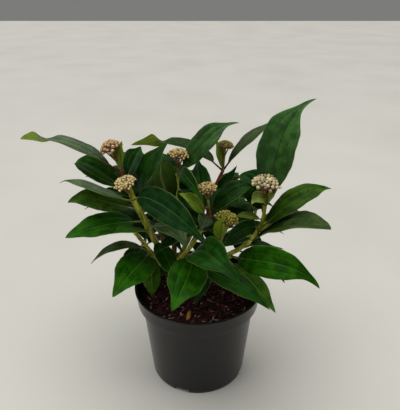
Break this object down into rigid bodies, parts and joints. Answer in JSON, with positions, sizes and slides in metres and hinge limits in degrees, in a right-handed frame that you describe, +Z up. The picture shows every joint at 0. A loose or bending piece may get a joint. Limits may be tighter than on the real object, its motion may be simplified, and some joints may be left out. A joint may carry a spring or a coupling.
{
  "type": "potted david viburnum",
  "caption": "Evergreen shrub with long veined leaves and domed heads of flower buds, growing in a round tapered nursery pot with a collar.",
  "frame": {"origin": "centre of the pot's flat underside", "axes": "+Z up the pot's axis, -Y towards the viewer, +X to the viewer's right"},
  "size_m": [0.4688, 0.3515, 0.424],
  "materials": {
    "pot": "semi-matt moulded",
    "soil": "loose bark fibre",
    "crown": "rough bark",
    "stems": "smooth young bark",
    "foliage": "glossy leathery leaf"
  },
  "bodies": {
    "root": {"pot": "pot", "soil": "soil", "crown": "crown", "stem_high_left": "stems", "stem_mid_left": "stems", "stem_top_middle": "stems", "stem_centre": "stems", "stem_back_right": "stems", "stem_right": "stems", "stem_front_right": "stems", "stem_low_left": "stems", "stem_low_front": "stems", "stem_low_right": "stems", "stem_rear_left": "stems", "stem_rear_middle": "stems", "stem_rear_right": "stems", "stem_far_right": "stems", "stem_far_left": "stems", "foliage_high_left": "foliage", "foliage_mid_left": "foliage", "foliage_top_middle": "foliage", "foliage_centre": "foliage", "foliage_back_right": "foliage", "foliage_right": "foliage", "foliage_front_right": "foliage", "foliage_low_left": "foliage", "foliage_low_front": "foliage", "foliage_low_right": "foliage", "foliage_rear_left": "foliage", "foliage_rear_middle": "foliage", "foliage_rear_right": "foliage", "foliage_far_right": "foliage", "foliage_far_left": "foliage"}
  },
  "joints": []
}
